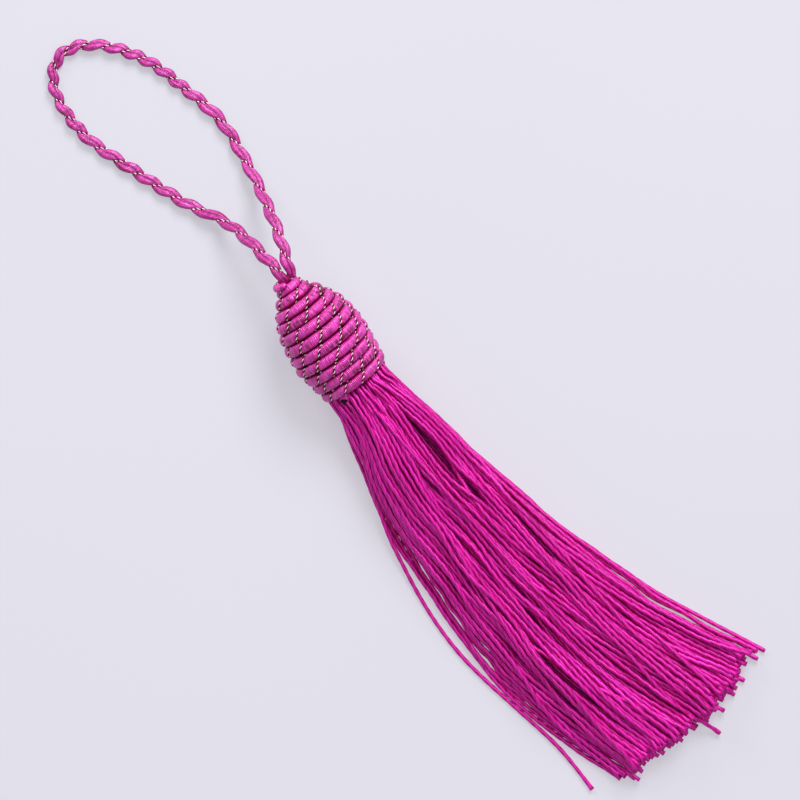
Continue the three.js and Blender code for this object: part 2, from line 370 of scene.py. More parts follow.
def wound_material():
    """Cord closely served with fine thread: threads run across the cord."""
    n = Nodes("served_cord")
    uv = n.new("ShaderNodeUVMap", uv_map="lay").outputs["UV"]
    ob = n.new("ShaderNodeTexCoord").outputs["Object"]
    painted_shade_mask = n.new("ShaderNodeAttribute", attribute_name="tint").outputs["Fac"]
    creases_on_shaded_side = n.new("ShaderNodeAttribute", attribute_name="zone").outputs["Fac"]
    wander = n.noise(n.mapped(uv, (3.0, 9.0, 1)), 1.0, 2.0)
    sep = n.new("ShaderNodeSeparateXYZ")
    n.link(uv, sep.inputs["Vector"])
    # one thread every 0.25 mm, leaning a little round the cord
    phase = n.math(
        "ADD",
        n.math("MULTIPLY", sep.outputs["Y"], 2 * math.pi / 0.025),
        n.math(
            "ADD",
            n.math("MULTIPLY", sep.outputs["X"], -4 * math.pi),
            n.math("MULTIPLY", wander, 9.0),
        ),
    )
    thread = n.math("MULTIPLY_ADD", n.math("SINE", phase), 0.5)
    thread.node.inputs[2].default_value = 0.5
    # where the serving bunches into short creases across the cord; the strokes are laid on most heavily on
    # the side away from the nose, partly as painted shade
    crease = n.noise(n.mapped(uv, (2.2, 22.0, 1), (0, 0, -0.05)), 1.0, 2.0, 0.6, 0.5)
    patch = n.noise(n.mapped(ob, (620, 620, 620)), 1.0, 2.0)
    base = n.ramp(
        patch,
        [
            (0.28, (0.78, 0.026, 0.400, 1)),
            (0.5, (0.92, 0.048, 0.520, 1)),
            (0.75, (0.98, 0.105, 0.660, 1)),
        ],
    )
    gap = n.ramp(thread, [(0.10, (0.42, 0.042, 0.28, 1)), (0.65, (1, 1, 1, 1))])
    base = n.mix(0.28, base, gap, "MULTIPLY")
    stroke = n.ramp(crease, [(0.47, (0.25, 0.002, 0.125, 1)), (0.57, (1, 1, 1, 1))])
    amount = n.new("ShaderNodeMapRange")
    n.value(amount, To_Min=0.30, To_Max=1.0)
    n.link(creases_on_shaded_side, amount.inputs["Value"])
    base = n.mix(amount.outputs["Result"], base, stroke, "MULTIPLY")
    # painted shade: the cord is darkened towards the grooves between turns and in the waist under the
    # metallic thread
    shaded = n.ramp(painted_shade_mask, [(0.1, (0.42, 0.0005, 0.130, 1)), (0.9, (1, 1, 1, 1))])
    n.link(n.mix(1.0, base, shaded, "MULTIPLY"), n.shader.inputs["Base Color"])
    # the painted shade mask and the creases also turn the shine down
    lit = n.math("MULTIPLY", n.math("POWER", painted_shade_mask, 1.5), n.math("ADD", crease, 0.40, True))
    n.link(n.math("MULTIPLY", lit, 0.95), n.shader.inputs["Specular IOR Level"])
    height = n.math("ADD", n.math("MULTIPLY", thread, 0.35), n.math("MULTIPLY", crease, 1.6))
    n.link(n.bump(height, 0.9, 0.00014), n.shader.inputs["Normal"])
    n.shader.inputs["Roughness"].default_value = 0.34
    n.shader.inputs["Metallic"].default_value = 0.10
    n.shader.inputs["IOR"].default_value = 1.8
    n.shader.inputs["Specular Tint"].default_value = (1.0, 0.42, 0.88, 1)
    n.shader.inputs["Sheen Weight"].default_value = 0.03
    n.shader.inputs["Sheen Roughness"].default_value = 0.4
    n.shader.inputs["Sheen Tint"].default_value = (1.0, 0.2, 0.75, 1)
    return n.material


def loop_material():
    """Soft satin yarn of the hanging loop, fibres along it."""
    n = Nodes("loop_satin_yarn")
    uv = n.new("ShaderNodeUVMap", uv_map="lay").outputs["UV"]
    ob = n.new("ShaderNodeTexCoord").outputs["Object"]
    fibre = n.noise(n.mapped(uv, (30, 3.0, 1), (0, 0, 0.03)), 1.0, 3.0, 0.6)
    patch = n.noise(n.mapped(ob, (800, 800, 800)), 1.0, 2.0)
    base = n.ramp(
        patch,
        [
            (0.25, (0.66, 0.026, 0.37, 1)),
            (0.5, (0.80, 0.052, 0.49, 1)),
            (0.8, (0.92, 0.105, 0.64, 1)),
        ],
    )
    dark = n.ramp(fibre, [(0.38, (0.47, 0.012, 0.27, 1)), (0.54, (1, 1, 1, 1))])
    base = n.mix(0.75, base, dark, "MULTIPLY")
    tuft = n.noise(n.mapped(uv, (2.5, 15.0, 1), (0, 0, 0.1)), 1.0, 2.0, 0.6)
    stroke = n.ramp(tuft, [(0.38, (0.47, 0.02, 0.30, 1)), (0.50, (1, 1, 1, 1))])
    base = n.mix(0.75, base, stroke, "MULTIPLY")
    # painted shade: darker in the waist under the binding thread, on the underside and on the side away
    # from the light; the same mask turns the shine down
    painted_shade_mask = n.new("ShaderNodeAttribute", attribute_name="tint").outputs["Fac"]
    shaded = n.ramp(painted_shade_mask, [(0.0, (0.24, 0.003, 0.090, 1)), (1.0, (1, 1, 1, 1))])
    base = n.mix(1.0, base, shaded, "MULTIPLY")
    n.link(n.math("MULTIPLY", n.math("POWER", painted_shade_mask, 1.5), 0.95), n.shader.inputs["Specular IOR Level"])
    # painted shade along the seam between the two yarns
    sep = n.new("ShaderNodeSeparateXYZ")
    n.link(uv, sep.inputs["Vector"])
    round_it = n.math("COSINE", n.math("MULTIPLY", sep.outputs["X"], 2 * math.pi))
    seam = n.math("POWER", n.math("ABSOLUTE", round_it), 30.0)
    deep = n.ramp(seam, [(0.0, (1, 1, 1, 1)), (0.8, (0.32, 0.003, 0.17, 1))])
    n.link(n.mix(0.85, base, deep, "MULTIPLY"), n.shader.inputs["Base Color"])
    n.link(n.bump(fibre, 0.9, 0.00016), n.shader.inputs["Normal"])
    n.shader.inputs["Roughness"].default_value = 0.34
    n.shader.inputs["Metallic"].default_value = 0.10
    n.shader.inputs["IOR"].default_value = 1.8
    n.shader.inputs["Specular Tint"].default_value = (1.0, 0.48, 0.90, 1)
    n.shader.inputs["Sheen Weight"].default_value = 0.03
    n.shader.inputs["Sheen Roughness"].default_value = 0.4
    n.shader.inputs["Sheen Tint"].default_value = (1.0, 0.35, 0.8, 1)
    return n.material


def metal_material(name, colour, rough, metallic, spread=0.12):
    n = Nodes(name)
    uv = n.new("ShaderNodeUVMap", uv_map="lay").outputs["UV"]
    fleck = n.noise(n.mapped(uv, (4, 60, 1)), 1.0, 2.0)
    lo = tuple(c * (1 - 3 * spread) for c in colour[:3]) + (1,)
    n.link(
        n.ramp(fleck, [(0.3, lo), (0.62, colour)]), n.shader.inputs["Base Color"]
    )
    n.link(n.bump(fleck, 0.35, 0.00003), n.shader.inputs["Normal"])
    n.shader.inputs["Metallic"].default_value = metallic
    n.shader.inputs["Roughness"].default_value = rough
    return n.material


YARN = yarn_material()
SERVED = wound_material()
LOOP = loop_material()
FOIL = metal_material("metal_foil_thread", (1.0, 0.82, 0.78, 1), 0.22, 0.0, 0.02)
DARK = metal_material("dark_foil_thread", (0.105, 0.0015, 0.034, 1), 0.8, 0.0)
# near-black core: painted shade seen through the gaps between the head's turns
SHADE_CORE = metal_material("wound_core_painted_shade", (0.16, 0.001, 0.05, 1), 0.7, 0.0)
# near-black cut face: painted shade for the dark spot under the last turn
CUT_END_SHADE = metal_material("cut_end_painted_shade", (0.022, 0.004, 0.013, 1), 0.6, 0.0)
shine = FOIL.node_tree.nodes["Principled BSDF"].inputs
shine["IOR"].default_value = 2.2
shine["Specular IOR Level"].default_value = 0.9
# painted glow: the foil thread gives off a little light of its own, so its dashes read bright in their
# shaded waist
shine["Emission Color"].default_value = (1.0, 0.86, 0.74, 1)
shine["Emission Strength"].default_value = 0.16
for dull in (DARK, CUT_END_SHADE, SHADE_CORE):
    dull.node_tree.nodes["Principled BSDF"].inputs["Specular IOR Level"].default_value = 0.12


# ------------------------------------------------------------------ the hanging loop
# Middle of the cord, from one end in the head round to the other. On the surface it
# lies with its underside touching.
LOOP_ROUTE = [
    (-16.2, 3.4, 8.1),
    (-17.05, 4.05, 9.0),
    (-18.3, 4.85, 9.75),
    (-19.8, 5.65, 10.1),
    (-22.2, 6.94, 9.65),
    (-26.33, 8.89, 7.6),
    (-30.32, 10.48, 4.65),
    (-34.48, 11.99, 2.3),
    (-38.33, 13.14, 1.15),
    (-42.23, 14.21, 0.88),
    (-46.31, 14.68, 0.86),
    (-50.44, 14.44, 0.86),
    (-54.39, 13.98, 0.86),
    (-58.73, 13.46, 0.86),
    (-63.01, 12.11, 0.86),
    (-67.32, 9.78, 0.86),
    (-70.24, 6.93, 0.86),
    (-71.44, 3.7, 0.86),
    (-70.3, 0.55, 0.86),
    (-67.37, -1.68, 0.86),
    (-63.39, -2.79, 0.86),
    (-58.9, -3.17, 0.86),
    (-54.1, -2.55, 0.86),
    (-48.77, -1.48, 0.86),
    (-43.29, -0.28, 0.88),
    (-38.01, 1.08, 1.1),
    (-33.08, 2.83, 2.35),
    (-28.63, 3.51, 5.3),
    (-24.37, 3.51, 8.55),
    (-21.2, 3.40, 9.8),
    (-19.2, 3.25, 9.9),
    (-17.7, 2.95, 9.25),
    (-16.7, 2.6, 8.2),
]
# Where the binding thread crosses the top of the cord: distance along it.
LOOP_CROSSINGS = [
    5.73, 10.03, 15.07, 20.14, 25.23, 29.51, 33.83, 38.18, 41.58, 44.47, 47.65, 50.64,
    53.55, 56.91, 60.6, 63.69, 66.91, 69.9, 73.08, 76.5, 79.52, 83.63, 87.52, 91.31,
    95.02, 98.69, 102.79, 107.85, 112.61, 118.28, 122.55,
]


def phase_of(at, crossings, first=0.0, pitch=3.8):
    """Turns made by a binding thread along a cord: whole at each crossing."""
    k = np.asarray(crossings, float)
    t = np.arange(len(k)) + first
    k = np.concatenate([[k[0] - 40 * pitch], k, [k[-1] + 40 * pitch]])
    t = np.concatenate([[t[0] - 40], t, [t[-1] + 40]])
    turns = np.interp(at, k, t)
    step = at[1] - at[0]
    half = max(1, int(1.6 / step))
    w = np.hanning(2 * half + 3)[1:-1]
    w /= w.sum()
    padded = np.concatenate(
        [
            turns[0] + (np.arange(-half, 0)) * (turns[1] - turns[0]),
            turns,
            turns[-1] + np.arange(1, half + 1) * (turns[-1] - turns[-2]),
        ]
    )
    return np.convolve(padded, w, mode="valid")


def twisted_pair(weaves, line, at, plies, offsets, pitch, sides):
    """Two plies twisted round a line, each into its own weave."""
    t = tangents(line)
    side = unit(np.cross(np.array([0.31, 0.52, 0.79]), t))
    lift = np.cross(t, side)
    turn = 2 * np.pi * at / pitch
    a = 2 * np.pi * np.arange(sides) / sides
    for n, (weave, ply, offset) in enumerate(zip(weaves, plies, offsets)):
        c, s = np.cos(turn + n * np.pi), np.sin(turn + n * np.pi)
        middle = line + offset * (c[:, None] * side + s[:, None] * lift)
        rings = (
            middle[:, None]
            + ply * (np.cos(a)[None, :, None] * side[:, None])
            + ply * (np.sin(a)[None, :, None] * lift[:, None])
        )
        weave.tube(rings, at / 10.0, 0.5, caps=(0.04, 0.04))


def make_loop():
    rng = np.random.default_rng(5)
    line, at = smooth_line(LOOP_ROUTE, 0.14)
    total = at[-1]
    t = tangents(line)
    left = unit(np.cross(UP, t))
    up = np.cross(t, left)
    turns = phase_of(at, LOOP_CROSSINGS)
    binding = np.pi / 2 - 2 * np.pi * turns  # where the thread is, round the cord
    pitch = 1.0 / np.gradient(turns, at)
    ends = smooth(0.5, 5.0, np.minimum(at, total - at))
    k = 32
    a = np.linspace(0, 2 * np.pi, k, endpoint=False) - np.pi / 2
    # two soft yarns side by side: the outline of two overlapping rounds
    lean = 0.40 + 0.12 * np.sin(at / 9.0 + 0.6) + wobble(rng, at, 9.0, 0.12)
    lean = np.where(at < total / 2, lean, -lean)  # the far leg is seen from its other side
    lean = np.convolve(np.pad(lean, 60, mode="edge"), np.hanning(121) / np.hanning(121).sum(), "valid")
    r_ply = 0.585 * (1 + wobble(rng, at, 3.0, 0.02))
    apart = 0.43 * (1 + wobble(rng, at, 4.0, 0.06))
    rel = a[None, :] - lean[:, None]
    c, s = np.abs(np.cos(rel)), np.sin(rel)
    inside = np.maximum(r_ply[:, None] ** 2 - (apart[:, None] * s) ** 2, 0)
    r = apart[:, None] * c + np.sqrt(inside)
    # the binding thread pulls a screw-shaped waist into them, and they swell between
    gap = (a[None, :] - binding[:, None] + np.pi) % (2 * np.pi) - np.pi
    off = np.abs(gap) / (2 * np.pi) * pitch[:, None]  # along the cord, to the thread
    held = (0.35 + 0.65 * ends)[:, None]
    waist = 0.24 * np.exp(-((off / 0.34) ** 2)) + 0.07 * np.exp(-((off / 0.9) ** 2))
    swell = np.cos(2 * np.pi * off / pitch[:, None])
    r = r * (1 - 0.05 * swell * held) * (1 - waist * held)
    # fine ridges of the fibre bundles
    r += 0.013 * np.sin(9 * rel + at[:, None] * 0.7) + 0.009 * np.sin(
        14 * rel - at[:, None] * 0.45
    )
    r *= (0.80 + 0.20 * ends)[:, None]
    # the whole cord snakes away from the thread
    away = -0.12 * ends
    middle = line + (away * np.cos(binding))[:, None] * left + (
        away * np.sin(binding) * 0.5
    )[:, None] * up
    rings = middle[:, None] + r[..., None] * (
        np.cos(a)[None, :, None] * left[:, None] + np.sin(a)[None, :, None] * up[:, None]
    )
    rings[..., 2] = np.maximum(rings[..., 2], 0.02)
    body = Weave()
    # painted shade mask: darker in the waist under the binding thread and on the underside, lighter on the
    # side towards the light
    painted_shade_mask = 1 - 0.9 * held * np.exp(-((off / 0.27) ** 2))
    painted_shade_mask = painted_shade_mask * (0.42 + 0.58 * smooth(-0.15, 0.60, np.sin(a)))[None]
    toward_light = np.cos(a)[None] * (left @ np.array([0.5, 0.86, 0.0]))[:, None]
    painted_shade_mask = painted_shade_mask * (0.78 + 0.22 * smooth(-0.35, 0.55, toward_light))
    body.tube(rings, at / 10.0, painted_shade_mask, caps=(0.05, 0.05), shear=lean / (2 * np.pi))
    cord = body.make("loop_yarns", LOOP, "loop_satin")

    # the binding thread itself, sunk in its waist
    fine = np.arange(3.2, total - 2.4, 0.06)
    b = np.interp(fine, at, binding)
    mid = np.stack([np.interp(fine, at, middle[:, i]) for i in range(3)], 1)
    lf = unit(np.stack([np.interp(fine, at, left[:, i]) for i in range(3)], 1))
    uf = unit(np.stack([np.interp(fine, at, up[:, i]) for i in range(3)], 1))
    col = ((b + np.pi / 2) % (2 * np.pi)) / (2 * np.pi) * k
    row = fine / (at[1] - at[0])
    r0 = np.clip(row.astype(int), 0, len(at) - 2)
    c0 = col.astype(int) % k
    fr, fc = row - r0, col - col.astype(int)
    rad = (
        r[r0, c0] * (1 - fr) * (1 - fc)
        + r[r0 + 1, c0] * fr * (1 - fc)
        + r[r0, (c0 + 1) % k] * (1 - fr) * fc
        + r[r0 + 1, (c0 + 1) % k] * fr * fc
    )
    half = 9
    w = np.hanning(2 * half + 1)
    rad = np.convolve(np.pad(rad, half, mode="edge"), w / w.sum(), "valid")
    out = rad - 0.03
    path = mid + out[:, None] * (np.cos(b)[:, None] * lf + np.sin(b)[:, None] * uf)
    path[:, 2] = np.maximum(path[:, 2], 0.18)
    path, along = even(path, 0.11)
    bright, dark = Weave(), Weave()
    twisted_pair((bright, dark), path, along, (0.090, 0.105), (0.084, 0.066), 0.95, 6)
    foil = bright.make("loop_foil_ply", FOIL, "loop_satin")
    plum = dark.make("loop_dark_ply", DARK, "loop_satin")
    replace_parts(cord, "loop_cord")
    return total


loop_length = make_loop()

# ------------------------------------------------------------------ the wound head
DIP, TURN = math.radians(14.0), math.radians(-9.8)
AXIS = np.array(
    [math.cos(DIP) * math.cos(TURN), math.cos(DIP) * math.sin(TURN), -math.sin(DIP)]
)
SIDE = np.array([-math.sin(TURN), math.cos(TURN), 0.0])
RISE = np.cross(AXIS, SIDE)
TIP = np.array([-17.87, 3.09, 10.3])
# Outside of the winding: distance down the axis, radius.
HEAD_PROFILE = [
    (-1.0, 1.95), (0.0, 2.08), (0.8, 2.2), (1.6, 2.5), (2.3, 3.1), (3.0, 3.78),
    (3.8, 4.35), (4.6, 4.88), (5.5, 5.4), (6.8, 6.0), (8.5, 6.55), (10.2, 6.9),
    (12.0, 7.1), (14.4, 7.2), (16.0, 6.98), (17.6, 6.7), (19.2, 6.48), (20.6, 6.2),
    (21.5, 5.9), (22.5, 5.5),
]
# Where each turn crosses the top of the head, down the axis.
TURN_PLACES = [1.6, 3.08, 4.69, 6.34, 8.12, 10.17, 12.15, 14.04, 15.94, 17.88, 19.76]
WOUND_TURNS = 11.72
# Angles at which the metallic thread crosses each turn: 0 on top, + towards +Y.
THREAD_ANGLES = {
    2: (8,),
    3: (63, 15, -38),
    4: (39, -4, -46),
    5: (39, 6, -36),
    6: (35, -4, -41, -73),
    7: (56, 18, -20, -49),
    8: (39, 0, -35, -62),
    9: (52, 13, -17, -47),
    10: (59, 22, -17, -50),
    11: (49, 12, -22, -55),
}
FIRST_ANGLE = -5.0
CORD_DEEP = 0.84  # half its thickness, in and out of the head


def turn_place(turns):
    """Distance down the axis of the winding's middle after so many turns."""
    ends = np.array([0.45] + TURN_PLACES + [21.5])
    k = np.clip(turns.astype(int), 0, len(ends) - 2)
    f = np.clip(turns - k, 0, 1)
    # each turn lies nearly square to the axis on top and steps on underneath
    g = 0.45 * f + 0.55 * smooth(0.0, 1.0, f)
    place = ends[k] + (ends[k + 1] - ends[k]) * g
    first = cubic(
        [0, 0.12, 0.25, 0.5, 0.75, 1.0, 1.2],
        [0.98, 0.82, 0.60, 0.90, 1.5, 1.6, 1.85],
        turns,
    )
    w = smooth(0.9, 1.15, turns)
    return np.where(turns < 1.2, first * (1 - w) + place * w, place)


def at_fraction(values, where, grid):
    if values.ndim == 1:
        return np.interp(where, grid, values)
    return np.stack([np.interp(where, grid, values[:, i]) for i in range(3)], 1)


def soften(values, half):
    w = np.hanning(2 * half + 1)
    return np.convolve(np.pad(values, half, mode="edge"), w / w.sum(), "valid")


def make_head():
    rng = np.random.default_rng(3)
    turns = np.linspace(0, WOUND_TURNS, 60 * 12 * 4)
    place = turn_place(turns)
    ahead = turn_place(np.clip(turns + 0.5, 0, WOUND_TURNS + 0.5))
    behind = turn_place(np.clip(turns - 0.5, 0, WOUND_TURNS))
    wide = (ahead - behind) / 2
    phi = np.radians(FIRST_ANGLE) - 2 * np.pi * turns
    rough_at = turns * 30.0
    place = place + wobble(rng, rough_at, 14.0, 0.045)
    outer = column(HEAD_PROFILE, place, 1) + wobble(rng, rough_at, 9.0, 0.06)
    slope = column(HEAD_PROFILE, place + 0.6, 1) - column(HEAD_PROFILE, place - 0.6, 1)
    slope = soften(slope / 1.2, 30)
    wide = soften(np.clip(wide * np.clip(np.sqrt(1 + slope**2), 1, 1.22), 0.76, 1.12), 30)
    deep = CORD_DEEP * (1 + wobble(rng, rough_at, 8.0, 0.03))
    out_dir = np.sin(phi)[:, None] * SIDE + np.cos(phi)[:, None] * RISE
    lean = np.arctan(slope)
    normal = np.cos(lean)[:, None] * out_dir - np.sin(lean)[:, None] * AXIS
    radius = outer - deep / np.cos(lean) + 0.32 * (1 - smooth(0.18, 0.5, turns))
    line = TIP + place[:, None] * AXIS + radius[:, None] * out_dir
    at = arc(line)
    grid = np.linspace(0, at[-1], int(at[-1] / 0.18))
    line, normal, wide, deep, made = (
        at_fraction(v, grid, at) for v in (line, normal, wide, deep, turns)
    )
    t = tangents(line)
    normal = unit(normal - (normal * t).sum(1, keepdims=True) * t)
    across = np.cross(normal, t)
    total = grid[-1]
    # crossings of the metallic thread, as lengths along the cord
    marks, count, last = [], [], None
    for turn, angles in THREAD_ANGLES.items():
        for angle in angles:
            here = float(np.interp(turn + (FIRST_ANGLE - angle) / 360.0, made, grid))
            step = 0 if last is None else max(1, int(round((here - last) / 3.69)))
            count.append(step + (count[-1] if count else 0))
            marks.append(here)
            last = here
    marks = np.array([marks[0] - 3.69 * 30] + marks + [marks[-1] + 3.69 * 30])
    count = np.array([count[0] - 30] + count + [count[-1] + 30], float)
    whole = np.arange(count[0], count[-1] + 1)
    spun = phase_of(grid, np.interp(whole, count, marks), pitch=3.69)
    binding = np.pi / 2 - 2 * np.pi * spun
    pitch = 1.0 / np.gradient(spun, grid)
    # the cord: a soft flattened round, cut into by the metallic thread
    k = 20
    a = np.linspace(0, 2 * np.pi, k, endpoint=False) - np.pi / 2
    gap = (a[None, :] - binding[:, None] + np.pi) % (2 * np.pi) - np.pi
    off = np.abs(gap) / (2 * np.pi) * pitch[:, None]
    waist = 1 - 0.165 * np.exp(-((off / 0.34) ** 2)) - 0.05 * np.exp(-((off / 0.9) ** 2))
    lump = 1 + 0.02 * np.sin(3 * a[None, :] + wobble(rng, grid, 4.0, 1.6)[:, None])
    for order in (1, 2, 4):
        lump += 0.012 * np.sin(
            order * a[None, :] + 2 * np.pi * wobble(rng, grid, 2.2, 0.5)[:, None]
        )
    end = np.minimum(grid, total - grid)
    round_end = np.sqrt(np.clip(1 - (1 - np.clip(end / 0.55, 0, 1)) ** 2, 0.10, 1))
    power = 2 / 2.2
    ca, sa = np.cos(a), np.sin(a)
    ex = np.sign(ca) * np.abs(ca) ** power
    ey = np.sign(sa) * np.abs(sa) ** power
    size = (waist * lump * round_end[:, None])[..., None]
    rings = (
        line[:, None]
        + size * (0.97 * wide)[:, None, None] * ex[None, :, None] * across[:, None]
        + size * (1.06 * deep)[:, None, None] * ey[None, :, None] * normal[:, None]
    )
    rings[..., 2] = np.maximum(rings[..., 2], 0.012)
    # painted shade: the cord's colour is darkened towards the grooves between turns, more widely on the
    # side away from the nose, and in the waist under the metallic thread; crease strokes gather on that
    # same side, partly as painted shade
    down = ex[None, :] * np.sign((across @ AXIS))[:, None]
    down = np.clip(down, -1, 1)
    below = smooth(-0.3, 0.8, down)
    high = ey[None, :]
    groove = smooth(0.20 + 0.12 * below, 0.68 + 0.28 * below, high)
    painted_shade_mask = (0.18 + 0.82 * groove) * (1 - 0.88 * np.exp(-((off / 0.30) ** 2)))
    creases_on_shaded_side = np.exp(-(((down - 0.30) / 0.50) ** 2))
    creases_on_shaded_side = np.clip(creases_on_shaded_side * (0.8 + wobble(rng, grid, 5.0, 0.5)[:, None]), 0, 1)
    cord = Weave()
    cord.tube(rings, grid / 10.0, painted_shade_mask, caps=(0.02, 0.02), zone=creases_on_shaded_side)
    ob = cord.make("wound_cord", SERVED, "head_satin")
    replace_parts(ob, "wound_head")

    # the metallic thread round the cord, sunk in its screw-shaped waist
    fine = np.arange(0.9, total - 0.7, 0.06)
    b = np.interp(fine, grid, binding)
    cb, sb = np.cos(b), np.sin(b)
    ex = np.sign(cb) * np.abs(cb) ** power
    ey = np.sign(sb) * np.abs(sb) ** power
    m = at_fraction(line, fine, grid)
    nf = unit(at_fraction(normal, fine, grid))
    af = unit(at_fraction(across, fine, grid))
    sunk = 1 - 0.24
    path = (
        m
        + ((sunk * 0.95 * at_fraction(wide, fine, grid) + 0.03) * ex)[:, None] * af
        + ((sunk * 1.06 * at_fraction(deep, fine, grid) + 0.05) * ey)[:, None] * nf
    )
    path[:, 2] = np.maximum(path[:, 2], 0.2)
    path, along = even(path, 0.12)
    bright, dark = Weave(), Weave()
    twisted_pair((bright, dark), path, along, (0.076, 0.112), (0.086, 0.055), 0.95, 6)
    bright.make("head_foil_ply", FOIL, "head_satin")
    dark.make("head_dark_ply", DARK, "head_satin")

    # the core that the cord is wound on, coloured near-black as painted shade for the gaps between the
    # turns
    rows = np.linspace(0.9, 21.2, 26)
    rad = np.maximum(column(HEAD_PROFILE, rows, 1) - 1.3, 0.3)
    rad[0] = 0.2
    ang = np.linspace(0, 2 * np.pi, 40, endpoint=False)
    core = (
        (TIP + rows[:, None] * AXIS)[:, None]
        + rad[:, None, None]
        * (np.cos(ang)[None, :, None] * SIDE + np.sin(ang)[None, :, None] * RISE)
    )
    core[..., 2] = np.maximum(core[..., 2], 0.3)
    inner = Weave()
    inner.tube(core, rows / 10.0, 0.0, caps=(0.0, 0.0))
    inner.make("head_core", SHADE_CORE, "skirt_yarn")

    # the tucked end of the cord under the last turn, its cut face coloured near-black as painted shade
    def polar(s, r, degrees):
        f = math.radians(degrees)
        return TIP + s * AXIS + r * (math.sin(f) * SIDE + math.cos(f) * RISE)

    tail, tail_at = smooth_line(
        [polar(19.9, 4.55, -30), polar(21.0, 4.95, -35), polar(21.75, 5.35, -39)], 0.1
    )
    face = unit(0.30 * AXIS + 0.95 * (0.82 * RISE - 0.57 * SIDE))
    tt = unit(tangents(tail))
    tl = unit(np.cross(RISE, tt))
    tu = np.cross(tt, tl)
    ang = np.linspace(0, 2 * np.pi, 16, endpoint=False)
    rr = 0.76 * (1 + 0.07 * np.sin(3 * ang[None, :] + 3 * tail_at[:, None]))
    tr = tail[:, None] + rr[..., None] * (
        np.cos(ang)[None, :, None] * tl[:, None] + np.sin(ang)[None, :, None] * tu[:, None]
    )
    # slanting cut
    slant = smooth(tail_at[-1] - 0.7, tail_at[-1], tail_at)[:, None, None]
    drop = ((tr - tail[-1]) @ face)[..., None]
    tr = tr - slant * np.maximum(drop - 0.1, 0) * face
    stub = Weave()
    stub.tube(tr, tail_at / 10.0, 0.9, caps=(0.0, 0.0))
    stub.make("cord_tail", SERVED, "head_satin")
    fl = unit(np.cross(face, AXIS))
    fu = np.cross(face, fl)
    centre = tail[-1] - 0.05 * AXIS
    rims = []
    for r, h in ((0.60, 0.05), (0.55, 0.17), (0.34, 0.19), (0.15, 0.17)):
        wave = r * (1 + 0.20 * np.sin(3 * ang) + 0.06 * np.sin(5 * ang + 1))
        rims.append(
            centre + h * face
            + wave[:, None] * (np.cos(ang)[:, None] * fl + 1.2 * np.sin(ang)[:, None] * fu)
        )
    shaded_cut_face = Weave()
    shaded_cut_face.tube(np.array(rims), np.arange(4) * 0.02, 0.5, caps=(None, 0.0))
    shaded_cut_face.make("tail_cut_face", CUT_END_SHADE, "head_satin")


make_head()

# ------------------------------------------------------------------ the skirt
# Outline of the bundle seen from above: x, edge towards -Y, edge towards +Y.
EDGES = [
    (3.4, -6.26, 5.13), (6.7, -7.6, 5.44), (10, -9.03, 5.67), (13.3, -10.21, 5.66),
    (16.5, -11.64, 5.64), (19.8, -13.0, 5.79), (23.1, -14.26, 5.6), (26.4, -15.3, 5.92),
    (29.7, -15.6, 6.15), (33, -16.26, 6.46), (36.3, -16.79, 6.7), (39.7, -17.6, 6.76),
    (43, -18.1, 7.08), (46.3, -18.55, 7.63), (49.6, -19.0, 8.35), (52.9, -19.4, 8.82),
    (56.2, -19.6, 9.53), (59.5, -19.42, 10.08), (62.8, -19.15, 10.8), (66.1, -18.75, 11.77),
    (69.5, -18.2, 12.82), (72.8, -17.76, 13.78), (76.1, -16.87, 14.91),
    (79.4, -16.2, 15.96), (86, -15.2, 17.6),
]
CREST = [
    (4.4, 10.5), (7.2, 10.4), (13.3, 9.7), (19.9, 8.9), (26.5, 8.3), (36.4, 7.5),
    (46.4, 6.9), (56.3, 6.3), (66.3, 5.8), (76.3, 5.3), (86, 5.0),
]
# Ends of strands that show past the rest: x, y.
TIPS = [
    (81.7, 16.7), (81.8, 14.2), (81.0, 12.5), (82.8, 9.9), (82.8, 8.2), (83.3, 6.8),
    (82.6, 4.7), (83.9, 3.4), (82.9, 0.2), (82.7, -2.0), (82.5, -4.3), (81.8, -7.8),
    (81.5, -9.0), (80.9, -10.3), (82.0, -13.9), (80.1, -15.1),
]
# Single strands that stray from the bundle.
STRAYS = [
    [(2.6, -3.2, 6.6), (8, -6.4, 5.6), (16, -10.6, 3.6), (24, -14.5, 1.9), (28.2, -16.0, 1.2),
     (31.8, -17.15, 0.7), (37.1, -18.6, 0.40), (42.7, -19.65, 0.38), (48, -20.12, 0.38),
     (55.3, -19.98, 0.38), (64.4, -19.48, 0.38), (70, -19.45, 0.38), (77.6, -20.35, 0.38)],
]
LAYERS = (42, 44, 36)  # strands of the body, from the lowest layer up
SPANS = ((0, 1), (0.05, 0.98), (0.12, 0.94))
LAID = 54  # strands in the loose locks that lie over the body
# Long dark hollows between the locks: from, to, half their width.
HOLLOWS = [
    ((13.5, 1.9), (24.0, 0.0), 0.68), ((23.5, -3.5), (36.8, -7.4), 0.22),
    ((26.0, 1.0), (35.0, -0.4), 0.20), ((43.7, -5.7), (50.1, -5.0), 0.22),
    ((49.5, -7.1), (55.5, -6.9), 0.38), ((48.8, -13.4), (52.9, -13.9), 0.26),
    ((56.0, -10.9), (64.3, -10.2), 0.36), ((60.5, -12.6), (64.5, -13.2), 0.24),
    ((66.0, -2.2), (72.0, -2.0), 0.22), ((38.0, 2.6), (45.0, 2.4), 0.18),
]
COUNT = sum(LAYERS) + LAID


def bump_between(x, a, b, soft):
    return smooth(a - soft, a + soft, x) * (1 - smooth(b - soft, b + soft, x))


